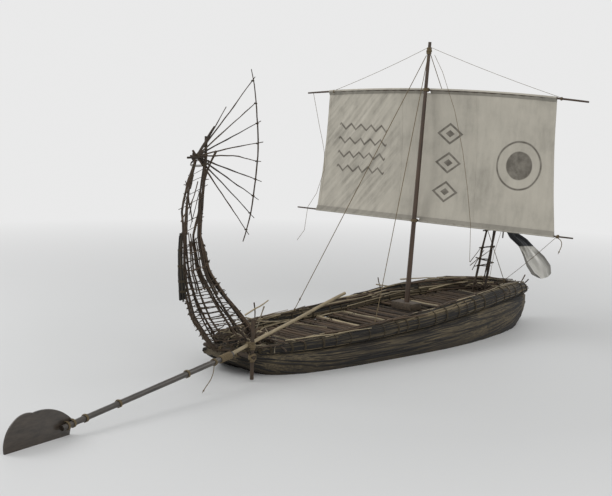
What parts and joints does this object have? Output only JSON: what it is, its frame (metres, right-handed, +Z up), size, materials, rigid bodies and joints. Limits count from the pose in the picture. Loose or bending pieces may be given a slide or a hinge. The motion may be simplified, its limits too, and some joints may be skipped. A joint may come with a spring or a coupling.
{
  "type": "reed boat",
  "caption": "Reed-bundle sailing boat afloat, with a lattice stern trunk and fan finial, a square sail braced on a raked mast, and a long steering oar lashed to a quarter post.",
  "frame": {"origin": "amidships on the centreline, at the waterline", "axes": "+X towards the bow, +Y to port, +Z up"},
  "size_m": [9.7229, 4.1623, 4.3921],
  "materials": {
    "reed": "dark weathered reed bundles",
    "pole": "dark bark-covered pole",
    "pale_pole": "stripped pale pole",
    "mast_wood": "dark oiled spar",
    "wet_wood": "dark wet wood",
    "rope": "weathered hemp rope",
    "canvas": "warm grey cotton canvas",
    "flag_cloth": "striped bunting"
  },
  "bodies": {
    "root": {"hull_bundle_port": "reed", "hull_bundle_starboard": "reed", "gunwale_port": "reed", "gunwale_starboard": "reed", "rail_port": "pale_pole", "rail_starboard": "pale_pole", "deck_aft": "pole", "deck_mid": "pole", "deck_fore": "pole", "stern_trunk": "pole", "tail_reeds": "reed", "fan": "pole", "fan_rim": "pole", "mast": "mast_wood", "mast_step": "mast_wood", "masthead": "rope", "backstay_port": "rope", "backstay_starboard": "rope", "forestay": "rope", "oar_post": "pole", "stern_beam": "pole", "bow_frame": "pole", "flag_staff": "pole", "flag": "flag_cloth"},
    "rig": {"yard": "mast_wood", "boom": "mast_wood", "sail": "canvas", "yard_parrel": "rope", "boom_parrel": "rope", "tail_hitch": "rope", "boom_tail": "rope"},
    "oar_lashing": {"oar_grommet": "rope"},
    "oar": {"oar_pole": "pale_pole", "oar_loom": "wet_wood", "oar_splice": "rope", "oar_blade": "wet_wood", "lanyard_hitch": "rope", "lanyard": "rope"}
  },
  "joints": [
    {"name": "yard_brace", "type": "hinge", "parent": "root", "child": "rig", "pos_m": [0.445, 0, 1.04], "axis": [0.0732, 0, 0.9973], "range_deg": [-50, 22]},
    {"name": "oar_swing", "type": "hinge", "parent": "root", "child": "oar_lashing", "pos_m": [-2.94723, -0.56361, 0.427], "axis": [0, 0, 1], "range_deg": [-20, 14]},
    {"name": "oar_lift", "type": "hinge", "parent": "oar_lashing", "child": "oar", "pos_m": [-2.962, -0.5, 0.427], "axis": [0.2261, -0.9741, 0], "range_deg": [-4, 9]}
  ]
}
